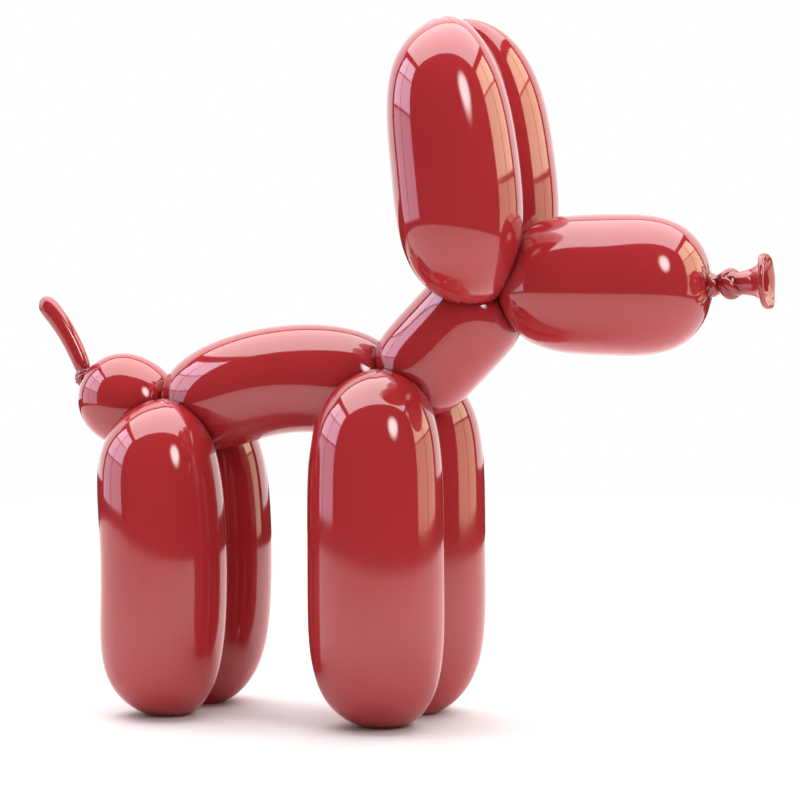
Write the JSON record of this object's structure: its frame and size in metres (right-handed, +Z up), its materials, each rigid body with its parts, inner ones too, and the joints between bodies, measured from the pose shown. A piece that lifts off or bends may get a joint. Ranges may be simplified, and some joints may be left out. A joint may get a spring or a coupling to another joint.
{
  "type": "balloon poodle ornament",
  "caption": "Glossy cast ornament in the shape of a standing poodle twisted from a long modelling balloon, with the tied mouth at its nose and a round bubble and thin tip for a tail.",
  "frame": {"origin": "on the ground the figure stands on, under the middle of its box", "axes": "+X from tail to muzzle, +Y to the dog's left, +Z up"},
  "size_m": [0.3268, 0.1102, 0.2942],
  "materials": {
    "red_lacquer": "high gloss lacquer over cast resin"
  },
  "bodies": {
    "root": {"balloon_poodle": "red_lacquer"}
  },
  "joints": []
}
